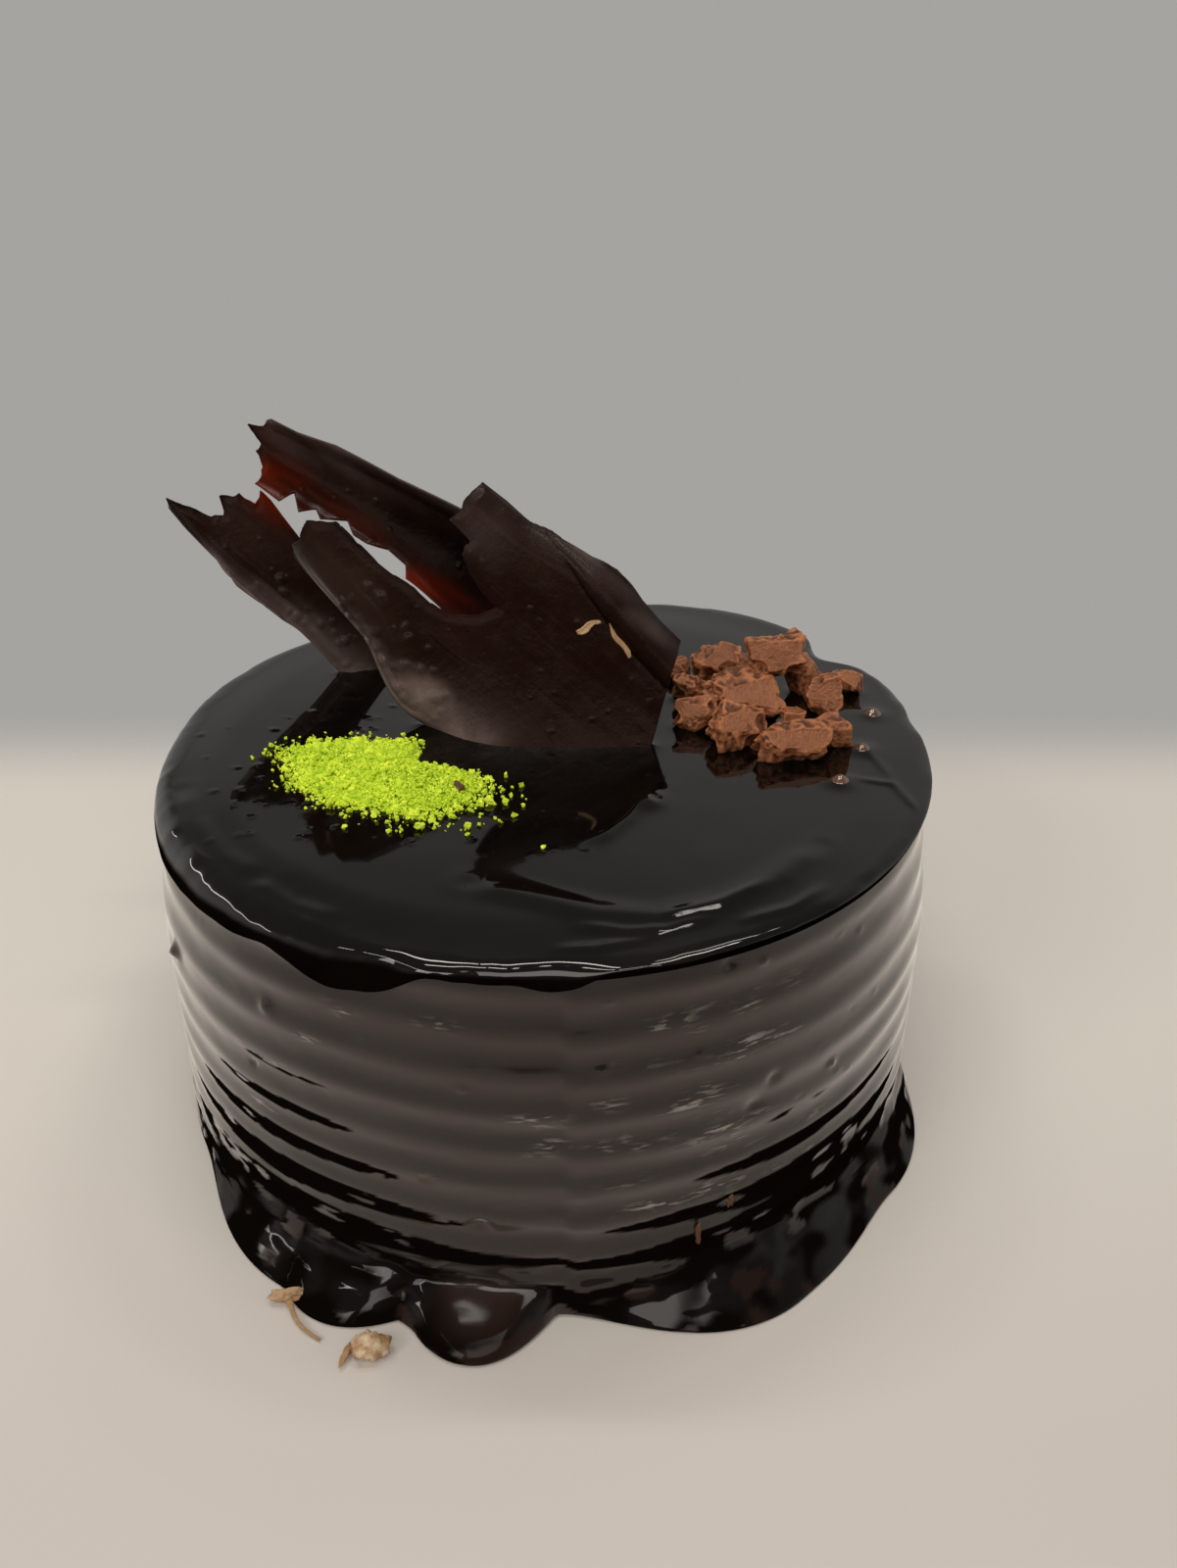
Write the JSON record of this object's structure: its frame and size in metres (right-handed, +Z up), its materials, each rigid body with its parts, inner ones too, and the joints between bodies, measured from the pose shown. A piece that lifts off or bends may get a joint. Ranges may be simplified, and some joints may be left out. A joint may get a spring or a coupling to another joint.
{
  "type": "chocolate cake",
  "caption": "Round dark chocolate cake with a combed side, a poured mirror glaze, broken chocolate roll shards, milk chocolate chunks and a drift of green crumb on top.",
  "frame": {"origin": "middle of the flat underside of the cake, on its upright axis", "axes": "+Z up out of the glazed top, -Y towards the side with the green crumb, +X towards the chocolate chunks"},
  "size_m": [0.1903, 0.2084, 0.1565],
  "materials": {
    "side_glaze": "glossy dark chocolate glaze over a combed side",
    "top_glaze": "mirror-gloss dark chocolate glaze",
    "dark_shard": "satin tempered dark chocolate",
    "milk_chunk": "rough broken milk chocolate",
    "green_crumb": "dry lime green crumb",
    "pale_bits": "tan chocolate flakes and nut bits"
  },
  "bodies": {
    "root": {"cake_body": "side_glaze", "top_glaze": "top_glaze", "shard_front": "dark_shard", "shard_back": "dark_shard", "shard_left": "dark_shard", "chunk_01": "milk_chunk", "chunk_02": "milk_chunk", "chunk_03": "milk_chunk", "chunk_04": "milk_chunk", "chunk_05": "milk_chunk", "chunk_06": "milk_chunk", "chunk_07": "milk_chunk", "chunk_08": "milk_chunk", "chunk_09": "milk_chunk", "chunk_10": "milk_chunk", "chunk_11": "milk_chunk", "chunk_12": "milk_chunk", "chunk_13": "milk_chunk", "chunk_14": "milk_chunk", "chunk_15": "milk_chunk", "green_crumb": "green_crumb"}
  },
  "joints": []
}
